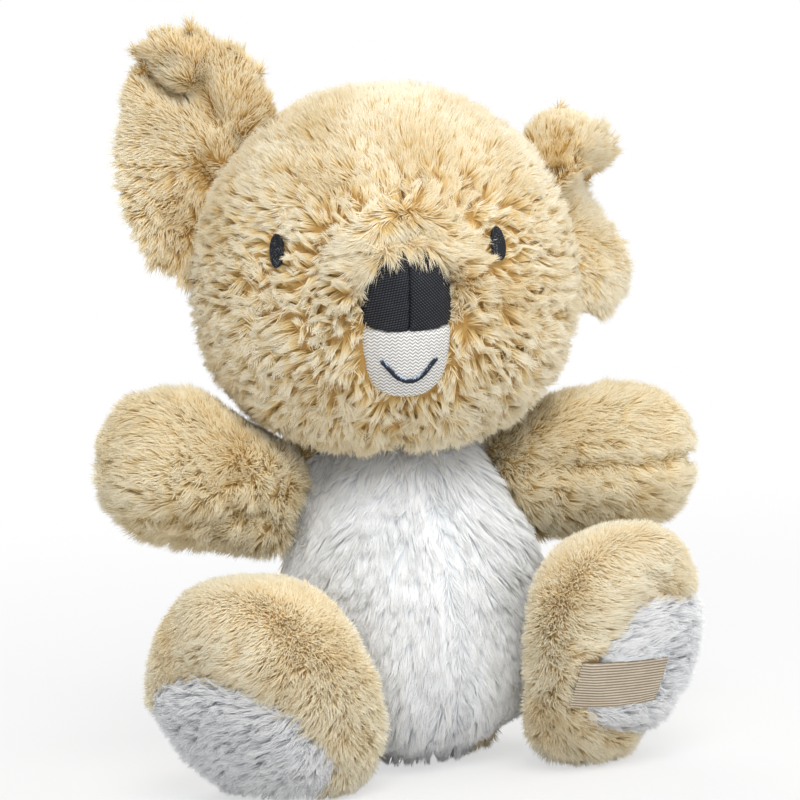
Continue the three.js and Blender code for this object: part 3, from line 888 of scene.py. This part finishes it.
stitch = new_piece("stitch", stitch_mesh())
stitches, ask = new_tree("stitches", {
    "Places": "Geometry", "Stitch": "Object", "Thread thickness": "Float",
    "Thread material": "Material"}, "Stitching")
laid = add_node(stitches, "InstanceOnPoints", {
    "Points": ask["Places"],
    "Instance": add_node(stitches, "ObjectInfo", {"Object": ask["Stitch"]}, out="Geometry"),
    "Rotation": add_node(stitches, "AxesToRotation",
        {"primary_axis": "Z", "secondary_axis": "Y"},
        {0: named(stitches, "heading"), 1: named(stitches, "outward")}),
    "Scale": add_node(stitches, "CombineXYZ", {
        0: ask["Thread thickness"], 1: ask["Thread thickness"], 2: named(stitches, "reach")})})
laid = add_node(stitches, "RealizeInstances", {"Geometry": laid})
laid = add_node(stitches, "SetMaterial", {"Geometry": laid, "Material": ask["Thread material"]})
add_node(stitches, "GroupOutput", {0: laid})


def thread_material(name, dark, light, share, rough, upper=0.0):
    """Twisted embroidery thread, lighter in specks, which are painted glints, and, by upper, along its upper side,
    which is a painted highlight.
    """
    material, tree = new_material(name)
    at = add_node(tree, "TexCoord", out="Object")
    speck = add_node(tree, "TexNoise", {"Vector": at, "Scale": 2600.0, "Detail": 2.0})
    tone = add_node(tree, "TexNoise", {"Vector": at, "Scale": 500.0, "Detail": 1.0})
    rising = add_node(tree, "NewGeometry", out="Normal") @ (0, 0, 1)
    # lit marks where the thread takes its light colour: painted glints in specks and a painted highlight on its
    # upper side.
    lit = add_node(tree, "MapRange", {
        "Value": speck + (tone - 0.5) * 0.5 + rising * upper,
        "From Min": 1 - share, "From Max": 1.08 - share})
    colour = add_node(tree, "Mix", {"data_type": "RGBA"}, {0: lit, 6: dark, 7: light}, out=2)
    twist = (at @ (0.5, 0.3, 0.8)).wave(0.00022)
    bump = add_node(tree, "Bump", {"Strength": 0.5, "Distance": 0.00004, "Height": twist})
    close_material(tree, add_node(tree, "BsdfPrincipled", {
        "Base Color": colour, "Roughness": rough, "Specular IOR Level": 0.35, "Normal": bump}))
    return material


def lay_stitches(name, node, body, slot, places, headings, outwards, reaches, thickness, material,
        base=None):
    mesh = bpy.data.meshes.new("places")
    mesh.from_pydata([tuple(p) for p in places], [], [])
    store_on_points(mesh, {"heading": np.array(headings), "outward": np.array(outwards),
            "reach": np.array(reaches)})
    piece = run_tree(name, mesh, stitches, {
        "Stitch": stitch, "Thread thickness": thickness, "Thread material": material})
    if base:
        whole = bmesh.new()
        whole.from_mesh(piece.data)
        whole.from_mesh(base)
        whole.to_mesh(piece.data)
        whole.free()
        finish_mesh(piece.data, material)
        for face in piece.data.polygons:
            face.material_index = 0
    take_place(piece, body, slot, node)


def smoothed(line, times):
    for _ in range(times):
        line[1:-1] = (line[:-2] + line[1:-1] * 2 + line[2:]) / 4
    return line


def centre_line(node, axis, places):
    """The middle line of a thin CAD thread, read at even steps along one axis."""
    form = joined_copy([node])
    points = np.array([tuple(v.co) for v in form.verts])
    form.free()
    low, high = points[:, axis].min(), points[:, axis].max()
    marks = np.linspace(low, high, 12)
    owner = np.digitize(points[:, axis], (marks[:-1] + marks[1:]) / 2)
    line = np.array([points[owner == i].mean(0) for i in range(len(marks)) if np.any(owner == i)])
    steps = np.concatenate(([0], np.cumsum(np.linalg.norm(np.diff(line, axis=0), axis=1))))
    spots = np.linspace(0, steps[-1], places)
    return smoothed(np.stack([np.interp(spots, steps, line[:, k]) for k in range(3)], axis=1), 3)


def nearest_normals(tree, points):
    return np.array([tuple(tree.find_nearest(p)[1]) for p in points])


# Each thread's light colour is laid in its specks as painted glints, and the smile thread's also lightens its
# upper side as a painted highlight.
dark_thread = thread_material("dark_thread", dark=(0.006, 0.007, 0.01), light=(0.12, 0.13, 0.15),
        share=0.42, rough=0.5)
smile_thread = thread_material("smile_thread_blue", dark=(0.008, 0.012, 0.024),
        light=(0.46, 0.6, 0.78), share=0.36, rough=0.5, upper=0.26)
seam_thread = thread_material("seam_thread", dark=(0.48, 0.36, 0.21), light=(0.72, 0.6, 0.42),
        share=0.46, rough=0.6)

smile_stitches, smile_narrowing = 46, 0.85
smile_line = centre_line("smile_thread", 0, smile_stitches)
smile_middle = smile_line[:, 0].mean()
smile_line[:, 0] = smile_middle + (smile_line[:, 0] - smile_middle) * smile_narrowing
smile_line = smoothed(distances(node_readers["muzzle_patch"], smile_line)[1], 12)
smile_out = nearest_normals(node_readers["muzzle_patch"], smile_line)
smile_run = unit(np.gradient(smile_line, axis=0))
smile_side = unit(np.cross(smile_run, smile_out))
lay_stitches("smile_stitches", "smile_thread", "head", "dark_thread",
        smile_line + smile_out * 0.0006, smile_run * 0.88 + smile_side * 0.34, smile_out,
        reaches=np.full(smile_stitches, 0.0019), thickness=0.0012, material=smile_thread)

head_low, head_high = map(np.array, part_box("head_stuffing"))
eye_stitches = 30
for side in ("left", "right"):
    node = f"eye_{side}"
    eye_base = even_form([node], voxel=0.00045, smoothing=3)
    eye_points, _ = points_of(eye_base)
    eye_middle = eye_points.mean(0)
    tall, across, outward = np.linalg.svd(eye_points - eye_middle, full_matrices=False)[2]
    outward = outward * np.sign(outward @ (eye_middle - (head_low + head_high) / 2))
    half_tall, half_wide, half_deep = (
        np.abs((eye_points - eye_middle) @ a).max() for a in (tall, across, outward))
    rows = np.linspace(-0.94, 0.94, eye_stitches)
    round_off = np.sqrt(1 - rows ** 2)
    places = (eye_middle + rows[:, None] * half_tall * tall
            + (half_deep * (0.5 + 0.5 * round_off))[:, None] * outward)
    finish_mesh(eye_base)
    lay_stitches(f"eye_{side}_stitches", node, "head", "dark_thread", places,
            np.tile(across * 0.97 + tall * 0.24, (eye_stitches, 1)),
            np.tile(outward, (eye_stitches, 1)),
            reaches=np.maximum(2.05 * half_wide * round_off, 0.0012), thickness=0.0007,
            material=dark_thread, base=eye_base)

closing_stitches = 30
closing_line = centre_line("closing_thread", 2, closing_stitches)
closing_line = distances(body_cloth, closing_line)[1] + (0, 0.0006, 0)
closing_run = unit(np.gradient(closing_line, axis=0))
closing_out = np.tile((0.0, 1.0, 0.0), (closing_stitches, 1))
sideways = unit(np.cross(closing_run, closing_out))
zig_zag_sides = np.where(np.arange(closing_stitches) % 2, 0.85, -0.85)[:, None]
lay_stitches("closing_stitches", "closing_thread", "body", "seam_thread", closing_line,
        closing_run * 0.55 + sideways * zig_zag_sides, closing_out,
        reaches=np.full(closing_stitches, 0.0032), thickness=0.0009, material=seam_thread)

# The ears: two-panel cups of plush, whose rim curls forward in a deep fold at the top of the
# right ear and pinches into an upper and a lower lobe on the left ear.
ear_outlines = {    # the top's height, then the outer and inner side as (height, place across)
    "right": (0.2292,
        ((0.1489, -0.0626), (0.1547, -0.0695), (0.1635, -0.0756), (0.1764, -0.081),
         (0.1921, -0.0822), (0.2019, -0.0813), (0.215, -0.0782), (0.224, -0.0747),
         (0.2292, -0.068)),
        ((0.206, -0.0375), (0.215, -0.037), (0.2209, -0.0415), (0.2267, -0.048),
         (0.2292, -0.055))),
    "left": (0.2007,
        ((0.131, 0.06), (0.1344, 0.0665), (0.142, 0.0724), (0.15, 0.0744), (0.158, 0.0724),
         (0.166, 0.0672), (0.1741, 0.0612), (0.1787, 0.064), (0.1866, 0.071),
         (0.194, 0.068), (0.198, 0.0615), (0.2007, 0.053)),
        ((0.185, 0.043), (0.194, 0.042), (0.198, 0.043), (0.2007, 0.0455)))}
ear_folds = {       # each fold's path, how deep it is drawn in (or stands up, below 0), its width
    "right": (
        (((-0.0755, 0.0026, 0.2185), (-0.0748, 0.0026, 0.2165), (-0.0707, 0.002, 0.2113),
          (-0.0641, 0.0011, 0.2083)), 0.0062, 0.0028),
        (((-0.074, 0.001, 0.2225), (-0.0675, -0.003, 0.2238), (-0.0628, -0.0046, 0.22),
          (-0.064, -0.002, 0.215)), -0.0028, 0.0036),
        (((-0.06, -0.0021, 0.2123), (-0.058, -0.0013, 0.2067), (-0.0563, -0.0015, 0.2009)),
         0.0026, 0.0028),
        (((-0.0603, 0.0007, 0.188), (-0.0575, 0.0, 0.182)), 0.0022, 0.0028)),
    "left": (
        (((0.05, -0.0345, 0.1735), (0.0602, -0.0175, 0.176), (0.0672, -0.0027, 0.1765)),
         0.003, 0.0034),)}
ear_tucks = {"right": 0.12, "left": 0.14}    # below these heights an ear's tip is drawn up
outline_bands = 24
head_reader = reader(head_panels)
joints = {joint["child"]: joint for joint in frame["joints"]}


def sew_on(form, to, near, far, sink=0.0028):
    """Draws the root of a form up to the cloth that it is sewn to, and a little under its pile."""
    points, _ = points_of(form)
    gap, nearest = distances(to, points)
    inward = unit(nearest - points) * (gap + sink)[:, None]
    set_points(form, points + inward * (1 - eased(gap, near, far))[:, None])


def shape_ear(form, side):
    """Swells an ear's outline into its lobes."""
    points, _ = points_of(form)
    top, outer, inner = ear_outlines[side]
    foot = points[:, 2].min() + 0.6 * (points[:, 2].max() - points[:, 2].min())
    rise = np.clip((points[:, 2] - foot) / (points[:, 2].max() - foot), 0, 1)
    points[:, 2] = np.where(rise > 0, foot + rise * (top - foot), points[:, 2])
    tuck = (ear_tucks[side] - points[:, 2]).clip(0)
    points[:, 2] += tuck * 0.6
    across, height = points @ toy_across, points[:, 2]
    band = np.clip(((height - height.min()) / (height.max() - height.min()) * outline_bands)
            .astype(int), 0, outline_bands - 1)
    members = [band == i for i in range(outline_bands)]
    band_height = np.array([height[m].mean() for m in members])
    low = np.interp(height, band_height, [across[m].min() for m in members])
    high = np.interp(height, band_height, [across[m].max() for m in members])
    new = []
    for line, now in zip((outer, inner) if side == "right" else (inner, outer), (low, high)):
        heights, places = np.array(line).T
        inside = eased(height, heights[0] - 0.004, heights[0])
        new.append(now + (np.interp(height, heights, places) - now) * inside)
    share = (across - low) / np.maximum(high - low, 0.004)
    points += toy_across * (new[0] + share * (new[1] - new[0]) - across)[:, None]
    set_points(form, points)
    sew_on(form, head_reader, 0.004, 0.012)


for side in ("left", "right"):
    ear = f"ear_{side}"
    ear_panels = [ear + "_inner", ear + "_back"]
    ear_form = finer(even_form(ear_panels, voxel=0.0028, smoothing=3))
    shape_ear(ear_form, side)
    ear_root = np.array(joints[ear]["pos_m"])
    comb_form(
        ear_form, ear, ear_panels, lambda p, n: unit(p - ear_root) + 0.2 * down,
        lie=0.45,
        long=lambda p, n: 0.84 - 0.34 * eased(np.sum(n * unit(p - ear_root), axis=1), 0.3, 0.95),
        inset=0.001, mess=lambda p, n: 0.75 - 0.5 * eased(p[:, 2], 0.185, 0.205),
        notch=0.2, folds=ear_folds[side], sewn_to="head")
    dress(ear, ear_panels, ear_form, lambda panel: long_tan)

# The arms: short stuffed forms of an upper and a lower panel, with a seam along the front
# and back that puckers the pile.
velvet_pile = plush_material("velvet_pile", root=(0.68, 0.5, 0.23), middle=(0.89, 0.75, 0.46),
        tip=(0.96, 0.89, 0.7), dull=(0.88, 0.79, 0.61))
short_tan = {**long_tan, "material": velvet_pile, "gathering": 0.35, "clumping": 0.5}
body_reader = reader(body_panels)
arm_folds = {"left": (), "right": ((
    ((-0.0838, -0.0196, 0.0815), (-0.076, -0.0218, 0.0812), (-0.068, -0.0231, 0.081),
     (-0.059, -0.0222, 0.0815), (-0.0499, -0.0201, 0.082)), 0.0026, 0.0026),)}
arm_fits = {        # start, share, under and above, as slim takes them
    "left": (0.003, 0.93, 0.001, 0.001), "right": (-0.0004, 0.86, 0.0055, 0.002)}
arm_insets, arm_notches = {"left": 0.001, "right": 0.0028}, {"left": 0.9, "right": 0.15}


def slim(form, start, share, under, above):
    """Draws a limb in across the toy from its right end, which moves by start, and moves its
    underside and its top up."""
    points, _ = points_of(form)
    across = points @ toy_across
    moved = across.min() + start + (across - across.min()) * share
    points += toy_across * (moved - across)[:, None]
    low, high = points[:, 2].min(), points[:, 2].max()
    points[:, 2] += under + (above - under) * (points[:, 2] - low) / (high - low)
    set_points(form, points)


def sag_armpit(form):
    """Lets the underside of the right arm hang down next to the body."""
    points, _ = points_of(form)
    below = 1 - eased(points[:, 2], 0.074, 0.086)
    points[:, 2] -= 0.0048 * below * eased(points @ toy_across, -0.06, -0.046)
    set_points(form, points)


for side in ("left", "right"):
    arm = f"arm_{side}"
    arm_panels = [arm + "_upper", arm + "_lower"]
    arm_form = stuffed_form(arm, arm_panels)
    slim(arm_form, *arm_fits[side])
    if side == "right":
        sag_armpit(arm_form)
    sew_on(arm_form, body_reader, 0.005, 0.016)
    arm_root = np.array(joints[arm]["pos_m"])
    arm_along = unit(points_of(arm_form)[0].mean(0) - arm_root)
    comb_form(
        arm_form, arm, arm_panels, lambda p, n: arm_along + 0.15 * down + forward * 0.45,
        sewn_to="body",
        lie=0.36, long=0.92,
        inset=lambda p, n: (pile_foot - arm_insets[side]) * eased(
            (p - arm_root) @ arm_along, -0.002, 0.014),
        mess=lambda p, n: 0.5 + 0.5 * eased(-n[:, 2], -0.4, 0.4),
        notch=arm_notches[side], folds=arm_folds[side])
    dress(arm, arm_panels, arm_form, lambda panel: short_tan)

# The legs: stuffed forms of an outer and an inner panel that meet in a ridge over the foot,
# closed by a white plush sole. A sole's edge is given by its places across and up the toy.
foot_pile = plush_material("foot_pile", root=(0.74, 0.58, 0.33), middle=(0.92, 0.8, 0.55),
        tip=(0.97, 0.92, 0.76), dull=(0.92, 0.83, 0.67))
sole_pile = plush_material("sole_pile", root=(0.82, 0.84, 0.86), middle=(0.93, 0.935, 0.945),
        tip=(0.98, 0.985, 0.99), dull=(0.95, 0.955, 0.965))
foot_tan = {**short_tan, "material": foot_pile}
sole_white = {**silky_white, "material": sole_pile, "clump": 0.0026, "width": 0.0005}
sole_edges = {
    "right": ((-0.0778, 0.0346), (-0.0757, 0.0385), (-0.072, 0.0412), (-0.0624, 0.043),
        (-0.05, 0.0395), (-0.037, 0.032), (-0.029, 0.021), (-0.0262, 0.012), (-0.03, 0.006),
        (-0.038, 0.0), (-0.06, 0.0), (-0.073, 0.011), (-0.0775, 0.022)),
    "left": ((0.0462, 0.0252), (0.0517, 0.0375), (0.057, 0.046), (0.0623, 0.0523),
        (0.0677, 0.0529), (0.09, 0.052), (0.09, 0.0), (0.056, 0.012), (0.0473, 0.0175))}
leg_fits = {"left": (0.0045, 0.93, 0.0015, 0.0015), "right": (0.0, 1.0, 0.0, 0.0032)}
right_foot_moves = (-0.003, -0.005, -0.0045, 0.0, 0.004, 0.004)
right_foot_heights = (0.0, 0.018, 0.034, 0.046, 0.06, 0.076)
foot_ridges = {
    "right": ((-0.0676, -0.0557, 0.0613), (-0.0748, -0.0627, 0.0536), (-0.078, -0.066, 0.047)),
    "left": ((0.0392, -0.0767, 0.065), (0.0439, -0.0757, 0.0603), (0.0485, -0.075, 0.055))}


def lean_foot(form, moves, heights):
    """Moves a foot's outer side across the toy, by how high each point is."""
    points, _ = points_of(form)
    across = points @ toy_across
    outer = (across.max() - across) / (across.max() - across.min())
    moved = np.interp(points[:, 2], heights, moves) * outer
    set_points(form, points + toy_across * moved[:, None])


def sole_gap(points, edge):
    """How far each point is from a sole's edge, seen from the front, and whether it is inside."""
    flat = np.stack([points @ toy_across, points[:, 2]], axis=1)
    ring = np.array(edge + edge[:1])
    gap = along_paths(flat, [ring])[0]
    inside = np.zeros(len(flat), bool)
    for (x0, z0), (x1, z1) in zip(ring[:-1], ring[1:]):
        crosses = (z0 > flat[:, 1]) != (z1 > flat[:, 1])
        if z0 != z1:
            inside ^= crosses & (flat[:, 0] < x0 + (flat[:, 1] - z0) / (z1 - z0) * (x1 - x0))
    return gap, inside


for side in ("left", "right"):
    leg, sole = f"leg_{side}", "foot_pad_" + side
    leg_panels = [leg + "_outer", leg + "_inner", sole]
    leg_form = stuffed_form(leg, leg_panels)
    slim(leg_form, *leg_fits[side])
    if side == "right":
        lean_foot(leg_form, right_foot_moves, right_foot_heights)
    leg_root = np.array(joints[leg]["pos_m"])
    leg_along = unit(points_of(leg_form)[0].mean(0) - leg_root)
    sole_middle = Vector(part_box(sole)[0]).lerp(Vector(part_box(sole)[1]), 0.5)
    sole_out = nearest_normals(node_readers[sole], [sole_middle])[0]
    sole_out = unit(sole_out * np.sign(sole_out @ leg_along))
    edge = sole_edges[side]
    covers = (("foot_ribbon", 0.0012, 0.005, 0.5, 0.15),) if side == "left" else ()

    def sole_seam(points):
        """The sole's edge is the seam, but not on the far side of the foot."""
        gap, _ = sole_gap(points, edge)
        far = distances(node_readers[sole], points)[0] > 0.02
        return np.maximum(gap, 0.02 * far), points

    def sole_claim(panel, points, normals):
        if panel != sole:
            return 0.0
        inside = sole_gap(points, edge)[1] & (normals @ sole_out > 0.15)
        return np.where(inside, 0.1, -0.1)

    comb_form(
        leg_form, leg, leg_panels, lambda p, n: leg_along + 0.35 * down,
        lie=0.34, long=lambda p, n: 0.9 - 0.22 * eased(n[:, 2], -0.3, 0.4),
        inset=lambda p, n: pile_foot * eased((p - leg_root) @ leg_along, -0.002, 0.014) - 0.0012,
        mess=lambda p, n: 0.22 + 0.5 * eased(-n[:, 2], -0.3, 0.5), notch=0.6, seams=sole_seam,
        folds=((foot_ridges[side], 0.0022, 0.0016),), keep_off=covers)
    dress(leg, leg_panels, leg_form,
          lambda panel: sole_white if panel.startswith("foot") else foot_tan, claim=sole_claim)

# The ribbon: a beige band with ribs along its length, woven of polyester and sewn flat over
# the edge of the left sole. The lettering of the real one is left off.
ribbon_width, ribbon_length, ribbon_rib = 0.016, 0.031, 0.00095
ribbon_mesh = even_form(["foot_ribbon"], voxel=0.0004, smoothing=2)
ribbon_points, _ = points_of(ribbon_mesh)
ribbon_axes = np.linalg.svd(ribbon_points - ribbon_points.mean(0), full_matrices=False)[2]
ribbon_width_way = tuple(ribbon_axes[1])
finish_mesh(ribbon_mesh, woven_material(
    "ribbon_ribs", gap=(0.25, 0.2, 0.14), thread=(0.72, 0.62, 0.49),
    height=lambda at: (at @ ribbon_width_way).wave(ribbon_rib)))
ribbon = new_piece("foot_ribbon_band", ribbon_mesh)
take_place(ribbon, "leg_left", "ribbon", "foot_ribbon")

for spare in (tuft, stitch):
    bpy.data.objects.remove(spare)
